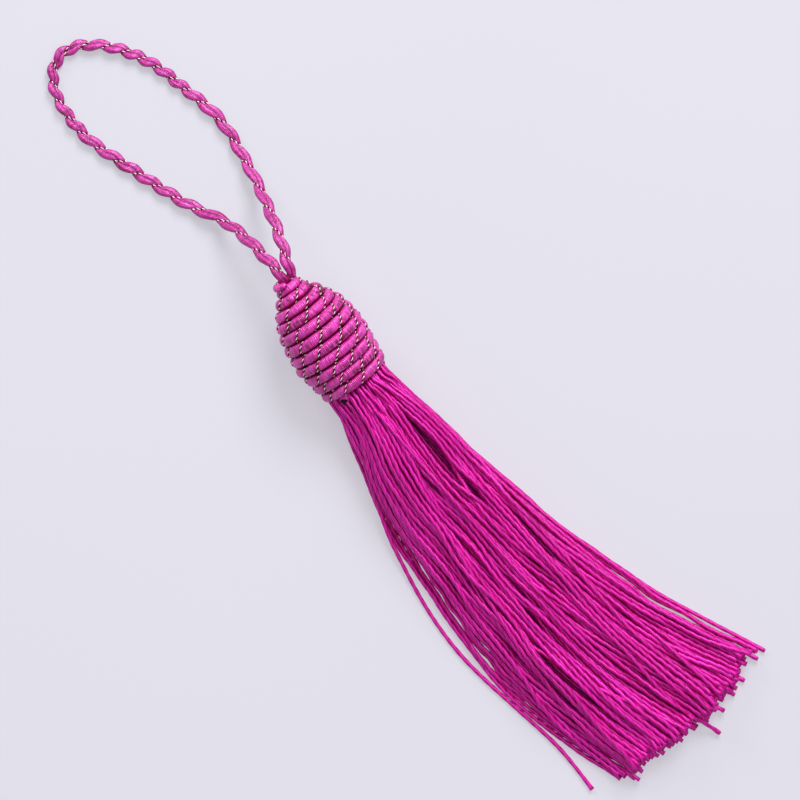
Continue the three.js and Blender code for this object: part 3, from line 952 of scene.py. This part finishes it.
def no_kink(x, y, z):
    """Yarn bends gently: where the path turns sharply it becomes a longer curve."""
    gy, gz = (soften(soften(v, 9), 4) for v in (y, z))
    sharp = soften(np.hypot(gy - y, gz - z), 6)
    much = smooth(0.13, 0.26, sharp) * bump_between(x, 11, 78, 4)
    return y + (gy - y) * much, z + (gz - z) * much


def parted(w, x):
    """Opens the long hollow in the crown, a little past the head."""
    away = w - 0.735
    return w + 0.026 * np.tanh(away / 0.02) * np.exp(-np.abs(away) / 0.10) * np.exp(
        -(((x - 20.5) / 8.5) ** 2)
    )


def lay_body(rng, n, y0, z0, root_y, root_z):
    """Lays the body section by section: from a round bundle in the neck the strands fan
    out, rest on each other and on the surface, and keep to the outline."""
    rounds = 230
    x = np.arange(4.4, 87.0, 1.6)
    right, left = column(EDGES, x, 1), column(EDGES, x, 2)
    crest = column(CREST, x, 1) - 1.15 - 1.7 * (1 - smooth(3.0, 19.0, x))
    rad = 0.362 * (1 + 0.06 * rng.uniform(-1, 1, n))
    order = np.argsort(z0 + rng.normal(0, 0.10, n))
    high = np.empty(n)
    high[order] = (np.arange(n) + 0.5) / n
    layer, share, first = np.zeros(n, int), np.empty(n), 0
    for number, (size, (a, b)) in enumerate(zip(LAYERS, SPANS)):
        m = order[first : first + size]
        first += size
        q = m[np.argsort(y0[m] + rng.normal(0, 0.10, size))]
        layer[q] = number
        even_share = a + (b - a) * (np.arange(size) + 0.5) / size
        # strands keep together in twos, threes and fours
        k, cling = 0, (0.25, 0.4, 0.6)[number]
        while k < size:
            m2 = int(rng.integers(1, 5))
            group = even_share[k : k + m2]
            even_share[k : k + m2] = group.mean() + (group - group.mean()) * (1 - cling)
            even_share[k : k + m2] += rng.normal(0, 0.006)
            k += m2
        share[q] = even_share + rng.normal(0, 0.006, size)
    # some run aslant
    sweep, leave = np.zeros(n), np.full(n, 22.0)
    for j in rng.choice(order[-LAYERS[-1] :], 16, replace=False):
        aside = rng.uniform(-0.24, -0.07) if rng.random() < 0.75 else rng.uniform(0.04, 0.10)
        sweep[j], leave[j] = aside, rng.uniform(10, 42)
    t = smooth(2, 52, x)[None] ** 0.8
    w = ((y0 + 1) / 2)[:, None] * (1 - t) + share[:, None] * t
    run = np.clip((x[None] - leave[:, None]) / (84 - leave[:, None]), 0, 1)
    w = w + sweep[:, None] * run**1.2 * (share > 0.22)[:, None]
    for amp, wave in ((0.010, 60), (0.007, 24)):
        w = w + (
            amp
            * rng.normal(0, 1, n)[:, None]
            * np.sin(2 * np.pi * x[None] / wave + rng.uniform(0, 6.28, n)[:, None])
            * smooth(8, 25, x)[None]
        )
    low = np.where(layer == 0)[0]
    by_share = low[np.argsort(share[low])]
    edge_r, edge_l, last_l = by_share[:3], by_share[-3:], by_share[-1:]
    part_r = smooth(26.4, 31.6, x) * (1 - smooth(52.5, 55.5, x))
    part_l = bump_between(x, 58.5, 76.5, 2.0)
    upper = layer == 2
    w[upper] = parted(w, x[None])[upper]
    w = np.clip(w, 0, 1)
    lo = np.broadcast_to(right[None], (n, len(x))) + rad[:, None]
    hi = np.broadcast_to(left[None], (n, len(x))) - rad[:, None]
    # a few strands at either edge part from the rest and show the surface between
    others = np.setdiff1d(np.arange(n), edge_r)
    inset = 1.55 - 0.45 * smooth(44, 48, x)
    aside = 0.5 * smooth(9, 27, x) + 0.5 * smooth(25, 32, x)
    lo[others] += (inset * aside * (1 - smooth(52.5, 55.5, x)))[None]
    hi[edge_r] = np.where(
        part_r[None] > 0.02,
        np.minimum(
            hi[edge_r],
            right[None] + (inset * part_r + 3 * (1 - part_r))[None] - rad[edge_r][:, None],
        ),
        hi[edge_r],
    )
    others = np.setdiff1d(np.arange(n), edge_l)
    hi[others] -= (1.60 + 0.10 * bump_between(x, 60.5, 70.0, 1.2))[None] * part_l[None]
    pair = edge_l[:2]
    hi[pair] -= (0.78 * bump_between(x, 66, 79, 2.0))[None]
    lo[last_l] = np.maximum(
        lo[last_l],
        (left - 0.80)[None] * bump_between(x, 30, 80, 2)[None]
        + lo[last_l] * (1 - bump_between(x, 30, 80, 2))[None],
    )
    # the lowest strands lie closest together towards -Y, where few others cover them
    close_up = (layer == 0)[:, None] * smooth(40, 60, x)[None] * 0.035
    aim = lo + (hi - lo) * (w - close_up * np.sin(np.pi * np.clip(w / 0.6, 0, 1)))
    aim[edge_r] = lo[edge_r] + np.arange(3)[:, None] * 0.5
    aim[edge_l] = hi[edge_l] - (2 - np.arange(3))[:, None] * 0.05
    y = np.clip(aim, lo, hi)
    dome = np.sqrt(np.clip(1 - ((2 * w - 1) * 0.93) ** 2, 0.02, 1))
    z = rad[:, None] + high[:, None] ** 0.92 * (crest[None] - 2 * rad[:, None]) * dome
    z[edge_r], z[edge_l] = rad[edge_r][:, None], rad[edge_l][:, None]
    tz = smooth(4, 16, x)[None]
    z = root_z[:, None] * (1 - tz) + z * tz
    y[:, 0], z[:, 0] = root_y, root_z
    f4 = np.float32
    y, z, lo, hi, aim = (v.astype(f4) for v in (y, z, lo, hi, aim))
    z_aim = z.copy()
    rad4 = rad.astype(f4)
    squeeze = (0.93 + 0.07 * smooth(5, 14, x)).astype(f4)
    need = (rad4[:, None] + rad4[None])[:, :, None] * squeeze[None, None]
    same = np.arange(n)
    for it in range(rounds):
        z[:, 1:] -= f4(0.010 * (1 - it / rounds) + 0.002)
        if it <= rounds - 12:
            for p in (y, z):
                mid = p[:, 1:-1]
                p[:, 1:-1] = mid + f4(0.42) * ((p[:, :-2] + p[:, 2:]) / 2 - mid)
                p[:, -1] += f4(0.2) * ((2 * p[:, -2] - p[:, -3]) - p[:, -1])
            y[:, 1:] += f4(0.035) * (aim[:, 1:] - y[:, 1:])
            z[:, 1:] += f4(0.020) * (z_aim[:, 1:] - z[:, 1:])
        for _ in range(2):
            dy = y[:, None] - y[None]
            dz = z[:, None] - z[None]
            d = np.sqrt(dy * dy + dz * dz) + f4(1e-6)
            over = np.maximum(need - d, 0)
            over[same, same] = 0
            f = f4(0.36) * over / d
            y[:, 1:] += (f * dy).sum(1)[:, 1:]
            z[:, 1:] += (f * dz).sum(1)[:, 1:]
            y = np.clip(y, lo, hi)
            z = np.maximum(z, rad4[:, None])
        y[:, 0], z[:, 0] = root_y, root_z
    y, z = y.astype(float), z.astype(float)

    fine = np.arange(4.4, 86.01, 0.8)
    y, z = (np.array([cubic(x, row, fine) for row in v]) for v in (y, z))

    # narrow slits: the rest of the body is drawn towards the strands at the edge
    def close(group, sign, wanted, where):
        rest = np.setdiff1d(np.arange(n), group)
        inner = (sign * y[group] + rad[group][:, None]).max(0)
        outer = (sign * y[rest] - rad[rest][:, None]).min(0)
        shift = (outer - inner - wanted) * where
        shift = np.convolve(np.pad(shift, 2, mode="edge"), (0.1, 0.22, 0.36, 0.22, 0.1), "valid")
        reach = sign * y[rest] - rad[rest][:, None] - outer[None]
        reach = np.exp(-np.maximum(reach, 0) / 3.0)
        y[rest] -= sign * shift[None] * reach

    x = fine
    slit = 0.38 * bump_between(x, 30.8, 33.6, 0.9) + 0.36 * bump_between(x, 35.8, 38.4, 0.9)
    slit += 0.42 * bump_between(x, 40.4, 43.6, 0.9) + 0.72 * bump_between(x, 48.5, 52.5, 1.0)
    close(edge_r, 1, slit - 0.16, bump_between(x, 28, 55, 2))
    slit = 0.45 * bump_between(x, 60.5, 70.5, 1.5)
    close(edge_l, -1, slit - 0.05, bump_between(x, 57, 78, 2))
    slit = 0.40 * bump_between(x, 69.5, 76, 1.0)
    close(last_l, -1, slit - 0.05, bump_between(x, 60, 82, 2))
    for k in range(n):
        y[k], z[k] = no_kink(x, y[k], z[k])
    # under the hollows the lowest strands lie side by side
    for (x0, y0_), (x1, y1_), _ in HOLLOWS:
        aside = y[low] - (y0_ + (y1_ - y0_) * (x - x0) / (x1 - x0))[None]
        for sign in (1, -1):
            there = sign * aside > 0
            gap = np.where(there, sign * aside - rad[low][:, None], 9.0).min(0)
            gap = np.clip(gap + 0.04, 0, 0.8) * bump_between(x, x0 - 1, x1 + 1, 1.5)
            reach = np.exp(-np.maximum(sign * aside - rad[low][:, None], 0) / 1.5)
            y[low] -= sign * soften(gap, 2)[None] * reach * there
    return fine, y, z, rad, high


def lay_locks(rng, x, body, n, y0, root_y, root_z):
    """Lays loose locks over the body one strand at a time, each on what lies below it."""
    by, bz, br = body
    right, left = column(EDGES, x, 1), column(EDGES, x, 2)
    ys = np.arange(-22.0, 20.0, 0.1)
    height = np.zeros((len(x), len(ys)))
    rows = np.arange(len(x))[:, None]

    def add(y, z, r):
        span = np.arange(-int(r / 0.1), int(r / 0.1) + 1)
        cols = np.clip(np.round((y - ys[0]) / 0.1).astype(int)[:, None] + span, 0, len(ys) - 1)
        cap = z[:, None] + np.sqrt(np.maximum(r * r - (ys[cols] - y[:, None]) ** 2, 0))
        height[rows, cols] = np.maximum(height[rows, cols], cap)

    def rest(y, r, sag):
        span = np.arange(-int(r / 0.1), int(r / 0.1) + 1)
        cols = np.clip(np.round((y - ys[0]) / 0.1).astype(int)[:, None] + span, 0, len(ys) - 1)
        touch = (height[rows, cols] + np.sqrt(r * r - (span * 0.1)[None] ** 2)).max(1)
        wide = np.maximum(touch, np.maximum(np.roll(touch, 1), np.roll(touch, -1)))
        wide[0], wide[-1] = touch[0], touch[-1]
        z = soften_line(wide, 5)
        z = np.maximum(z, touch - 0.10)
        return soften_line(z, 2) - sag

    def soften_line(v, half):
        k = np.hanning(2 * half + 3)[1:-1]
        return np.convolve(np.pad(v, half, mode="edge"), k / k.sum(), "valid")

    slides = np.arange(-13, 14) * 0.15

    def settle(y, r, least, most):
        """The lowest lie near y: the strand slides off what it would be stacked on."""
        span = np.arange(-int(r / 0.1), int(r / 0.1) + 1)
        cap = np.sqrt(r * r - (span * 0.1) ** 2)
        where = np.clip(y[:, None] + slides[None], least[:, None], most[:, None])
        cols = np.clip(np.round((where - ys[0]) / 0.1).astype(int)[..., None] + span, 0, len(ys) - 1)
        touch = (height[rows[..., None], cols] + cap).max(2)
        cost = touch + 0.34 * slides[None] ** 2
        for (x0, y0_), (x1, y1_), half in HOLLOWS:
            away = np.abs(where - (y0_ + (y1_ - y0_) * (x - x0) / (x1 - x0))[:, None])
            near = 1 - smooth(half + r - 0.15, half + r + 0.15, away)
            cost = cost + 5.0 * near * bump_between(x, x0, x1, 0.8)[:, None]
        cost[0] = 50 * np.abs(slides)
        change = 30.0 * (slides[:, None] - slides[None]) ** 2
        best, back = cost[0], []
        for k in range(1, len(x)):
            total = best[None] + change
            pick = total.argmin(1)
            back.append(pick)
            best = total[np.arange(len(slides)), pick] + cost[k]
        j = int(best.argmin())
        slide = [j]
        for pick in back[::-1]:
            j = int(pick[j])
            slide.append(j)
        return np.clip(y + soften_line(slides[np.array(slide[::-1])], 5), least, most)

    for y, z, r in zip(by, bz, br):
        add(y, z, r)

    order = np.argsort(y0 + rng.normal(0, 0.05, n))
    sizes = []
    while sum(sizes) < n:
        sizes.append(int(rng.choice([2, 3, 3, 4, 4, 5])))
    sizes[-1] -= sum(sizes) - n
    sizes = [k for k in sizes if k > 0]
    locks, first = len(sizes), 0
    plan = []
    t = smooth(3, 40, x) ** 0.8
    for j, size in enumerate(sizes):
        centre = 0.15 + 0.78 * (first + size / 2) / n + rng.normal(0, 0.008)
        aside, leave = rng.normal(0, 0.02), rng.uniform(8, 40)
        kind = rng.random()
        if 0.2 < centre < 0.85 and kind < 0.50:
            aside = rng.uniform(-0.26, -0.08)
        elif kind > 0.86:
            aside = rng.uniform(0.04, 0.10)
        phase, wave = rng.uniform(0, 6.28), rng.uniform(30, 60)
        for k in range(size):
            j2 = order[first + k]
            own_aside, own_leave = aside, leave
            lone = rng.random() < 0.26
            if lone and centre > 0.22:
                own_aside += rng.uniform(-0.26, -0.06) if rng.random() < 0.7 else rng.uniform(0.03, 0.12)
                own_leave = rng.uniform(14, 50)
            run = np.clip((x - own_leave) / (84 - own_leave), 0, 1) ** 1.15
            w = ((y0[j2] + 1) / 2) * (1 - t) + centre * t
            w = w + own_aside * run + 0.010 * np.sin(2 * np.pi * x / wave + phase) * smooth(10, 30, x)
            w = np.clip(parted(w, x), 0.01, 0.99)
            spread = (k - (size - 1) / 2) * 0.66 * (0.85 + 0.55 * smooth(15, 80, x))
            own = 0.22 * rng.normal(0, 1) * np.sin(
                2 * np.pi * x / rng.uniform(16, 34) + rng.uniform(0, 6.28)
            )
            r = 0.372 * (1 + 0.06 * rng.uniform(-1, 1))
            room_r = 0.5 + (1.0 * smooth(9, 27, x) + 0.9 * smooth(25, 32, x)) * (
                1 - smooth(52.5, 57.5, x)
            )
            room_l = 0.4 + 2.0 * bump_between(x, 30, 80.0, 5)
            y = right + r + (left - right - 2 * r) * w + (spread + own) * smooth(5, 12, x)
            least, most = right + r + room_r, left - r - room_l
            y = soften_line(np.clip(y, least, most), 4)
            s = smooth(4.4, 17, x)
            y = root_y[j2] * (1 - s) + y * s
            plan.append((abs(own_aside) + rng.uniform(0, 0.10), j2, y, r, least, most))
        first += size
    plan.sort(key=lambda p: p[0])
    laid = []
    for _, j2, y, r, least, most in plan:
        y = settle(y, r * 0.94, least, most)
        z = rest(y, r * 0.94, 0.02)
        s = smooth(4.4, 13.0, x)
        z = root_z[j2] * (1 - s) + np.maximum(z, r) * s
        s = smooth(9.0, 20.0, x)
        y, z = (soften_line(v, 6) * (1 - s) + v * s for v in (y, z))
        y, z = no_kink(x, y, z)
        z = np.maximum(z, r)
        y[0], z[0] = root_y[j2], root_z[j2]
        add(y, z, r * 0.94)
        laid.append((j2, y, z, r))
    # one long strand lies over the rest and ends past them
    route = [(4.4, -1.2), (14, -2.0), (30, -3.0), (45, -3.6), (58, -3.3), (66, -2.4),
             (76, -1.1), (81, 0.1), (86, 1.3)]
    y = soften_line(column(route, x, 1), 3)
    z = rest(y, 0.35, 0.02)
    at = float(np.interp(76.0, x, z))
    z = np.where(x > 76, np.interp(x, (76, 79, 81.5, 84, 86), (at, at - 0.7, 3.0, 1.2, 0.55)), z)
    over = [(a, b, c) for a, b, c in zip(x, y, soften_line(z, 2)) if 7.0 < a < 86]
    return laid, over


def lay_strands():
    rng = np.random.default_rng(11)
    n = COUNT
    i = np.arange(n)
    rr, al = np.sqrt((i + 0.5) / n), i * 2.399963
    y0, z0 = rr * np.cos(al), rr * np.sin(al)
    right, left = column(EDGES, np.array([4.4]), 1)[0], column(EDGES, np.array([4.4]), 2)[0]
    root_z = 5.28 + 4.93 * z0
    root_y = (right + left) / 2 + (left - right - 0.62) / 2 * y0
    order = np.argsort(z0 + rng.normal(0, 0.06, n))
    low, top = order[:-LAID], order[-LAID:]
    x, y, z, rad, high = lay_body(rng, len(low), y0[low], z0[low], root_y[low], root_z[low])
    laid, over = lay_locks(rng, x, (y, z, rad), LAID, y0[top], root_y[top], root_z[top])
    paths = []
    for k in range(len(low)):
        paths.append((x, y[k], z[k], rad[k], 0.8 * high[k], root_y[low[k]], root_z[low[k]]))
    for rank, (j, ly, lz, r) in enumerate(laid):
        lift = 0.8 + 0.2 * rank / len(laid)
        paths.append((x[::2], ly[::2], lz[::2], r, lift, root_y[top[j]], root_z[top[j]]))
    # where each strand ends
    tips = np.array(sorted(TIPS, key=lambda p: p[1]))
    y_end = np.array([np.interp(81.0, p[0], p[1]) for p in paths])
    lifts = np.array([p[4] for p in paths])
    end = np.interp(y_end, tips[:, 1], tips[:, 0]) - 0.25 + 0.4 * (1 - smooth(-4, 8, y_end))
    end -= np.abs(rng.normal(0, 0.5, n)) + 1.15 * lifts**1.5 + rng.uniform(0, 0.6, n)
    taken = np.zeros(n, bool)
    for tx, ty in TIPS:
        cost = np.abs(y_end - ty) + 1.2 * lifts + 99 * taken
        j = int(np.argmin(cost))
        taken[j] = True
        end[j] = tx
    return paths, end, over, root_y.mean(), root_z.mean()


def gaps_below(paths):
    """Places inside the bundle with no strand over the surface: short routes along them."""
    xs, ys = np.arange(16.0, 79.0, 0.4), np.arange(-20.0, 18.0, 0.05)
    y = np.array([np.interp(xs, p[0], p[1]) for p in paths])
    slope = np.gradient(y, xs, axis=1)
    tracks = []
    for i, x in enumerate(xs):
        bare = np.ones(len(ys), bool)
        for centre, p in zip(y[:, i], paths):
            bare &= np.abs(ys - centre) > 0.88 * p[3]
        ordered = np.sort(y[:, i])
        bare &= (ys > ordered[8]) & (ys < ordered[-7])
        cells = np.where(bare)[0]
        for run in np.split(cells, np.where(np.diff(cells) > 1)[0] + 1):
            if len(run) < 2:
                continue
            middle = ys[run].mean()
            for track in tracks:
                if x - track[-1][0] < 2.5 and abs(middle - track[-1][1]) < 0.45:
                    track.append((x, middle))
                    break
            else:
                tracks.append([(x, middle)])
    routes = []
    for track in tracks:
        t = np.array(track)
        x, at = t[:, 0].mean(), t[:, 1].mean()
        i = int(np.argmin(np.abs(xs - x)))
        lean = slope[np.argsort(np.abs(y[:, i] - at))[:6], i].mean()
        run = np.arange(t[0, 0] - 5.0, t[-1, 0] + 5.1, 1.2)
        line = np.interp(run, t[:, 0], t[:, 1])
        line += lean * (run - np.clip(run, t[0, 0], t[-1, 0]))
        routes.append([(a, b, 0.27) for a, b in zip(run, soften(line, 2))])
    return routes


def strand(weave, points, radius, pitch, start, tint, rng, sides=12, step=0.6, neck=True):
    """One two-ply strand along the points."""
    line, at = smooth_line(points, step, dense=12)
    t = tangents(line)
    left = unit(np.cross(UP, t))
    up = np.cross(t, left)
    a = 2 * np.pi * np.arange(sides) / sides - np.pi / 2
    total = at[-1]
    ply = radius * 0.85 * (1 + wobble(rng, at, 3.5, 0.03))
    apart = radius * 0.145 * (1 + wobble(rng, at, 5.0, 0.08))
    if neck:
        ply, apart = (v * (0.83 + 0.17 * smooth(3.0, 24.0, at)) for v in (ply, apart))
    # the cut end opens a little
    ply = ply * (1 + 0.07 * smooth(total - 1.8, total - 0.4, at))
    apart = apart * (1 + 0.9 * smooth(total - 1.6, total, at))
    twist = start + 2 * np.pi * at / pitch + wobble(rng, at, 9.0, 0.35)
    rel = a[None] - twist[:, None]
    c, s = np.abs(np.cos(rel)), np.sin(rel)
    r = apart[:, None] * c + np.sqrt(ply[:, None] ** 2 - (apart[:, None] * s) ** 2)
    rings = line[:, None] + r[..., None] * (
        np.cos(a)[None, :, None] * left[:, None] + np.sin(a)[None, :, None] * up[:, None]
    )
    rings[..., 2] = np.maximum(rings[..., 2], 0.01)
    # painted shade mask: each strand's flanks and underside are darkened in the colour, less so towards
    # the far end
    least = (0.66 + 0.19 * smooth(30, 75, line[:, 0]))[:, None]
    painted_shade_mask = least + (1 - least) * smooth(-0.10, 0.62, np.sin(a))[None]
    weave.tube(
        rings, at / 10.0, tint, caps=(0.0, 0.05), shear=twist / (2 * np.pi), zone=painted_shade_mask
    )


def make_skirt():
    rng = np.random.default_rng(23)
    paths, end, over, cy, cz = lay_strands()
    names = ("skirt_lowest", "skirt_lower", "skirt_middle", "skirt_upper")
    weaves = [Weave() for _ in names]
    order = np.argsort([p[4] for p in paths])
    for rank, i in enumerate(order):
        x, y, z, rad, _, root_y, root_z = paths[i]
        pts = []
        for s, shrink in ((19.6, 0.88), (20.9, 0.98)):
            side, rise = root_y - cy, root_z - cz
            pts.append(tuple(TIP + s * AXIS + shrink * (side * SIDE + rise * RISE)))
        keep = x < end[i] - 0.3
        pts += list(zip(x[keep], y[keep], z[keep]))
        pts.append((end[i], np.interp(end[i], x, y), np.interp(end[i], x, z)))
        group = min(3, rank * 4 // COUNT)
        strand(
            weaves[group],
            pts,
            rad * 1.02,
            4.1 * (1 + 0.12 * rng.uniform(-1, 1)),
            rng.uniform(0, 6.28),
            rng.uniform(0, 1),
            rng,
            sides=(8, 10, 10, 10)[group],
            step=(0.60, 0.50, 0.42, 0.40)[group],
        )
    for pts in STRAYS + [over]:
        strand(weaves[0], pts, 0.36, 4.2, 1.0, 0.5, rng, step=0.45, neck=pts[0][0] < 10)
    for pts in gaps_below(paths):
        strand(weaves[0], pts, 0.27, 4.2, 1.0, 0.4, rng, sides=8, step=0.6, neck=False)
    for w, name in zip(weaves, names):
        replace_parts(w.make(name, YARN, "skirt_yarn"), "yarn_skirt")


make_skirt()


# ------------------------------------------------------------------ surface and light
def make_stage():
    bpy.ops.mesh.primitive_plane_add(size=4.0, location=(0, 0, 0))
    floor = bpy.context.object
    floor.name = "surface"
    n = Nodes("pale_surface")
    ob = n.new("ShaderNodeTexCoord").outputs["Object"]
    n.link(
        n.ramp(
            n.noise(n.mapped(ob, (6, 6, 6)), 1.0, 2.0),
            [(0.3, (0.305, 0.301, 0.340, 1)), (0.7, (0.320, 0.315, 0.355, 1))],
        ),
        n.shader.inputs["Base Color"],
    )
    n.shader.inputs["Roughness"].default_value = 0.85
    n.shader.inputs["Specular IOR Level"].default_value = 0.1
    n.shader.inputs["Emission Color"].default_value = (0.93, 0.92, 1.0, 1)
    n.shader.inputs["Emission Strength"].default_value = 0.46
    floor.data.materials.append(n.material)

    world = bpy.data.worlds.new("studio")
    world.use_nodes = True
    bg = world.node_tree.nodes["Background"]
    bg.inputs["Color"].default_value = (0.93, 0.94, 1.0, 1)
    bg.inputs["Strength"].default_value = 0.31
    bpy.context.scene.world = world

    def area(name, where, size, power, colour=(1, 1, 1)):
        data = bpy.data.lights.new(name, "AREA")
        data.shape = "DISK"
        data.size = size
        data.energy = power
        data.color = colour
        ob = bpy.data.objects.new(name, data)
        bpy.context.scene.collection.objects.link(ob)
        ob.location = where
        aim = Vector((0.01, 0.0, 0.0)) - Vector(where)
        ob.rotation_mode = "QUATERNION"
        ob.rotation_quaternion = aim.to_track_quat("-Z", "Y")

    area("key", (-0.36, 0.72, 0.78), 0.60, 10.4)
    area("side", (-0.85, 0.10, 0.45), 0.40, 2.5)
    area("top", (0.30, 0.20, 1.0), 0.8, 2.0)

    scene = bpy.context.scene
    scene.view_settings.view_transform = "Standard"
    scene.view_settings.look = "None"


make_stage()
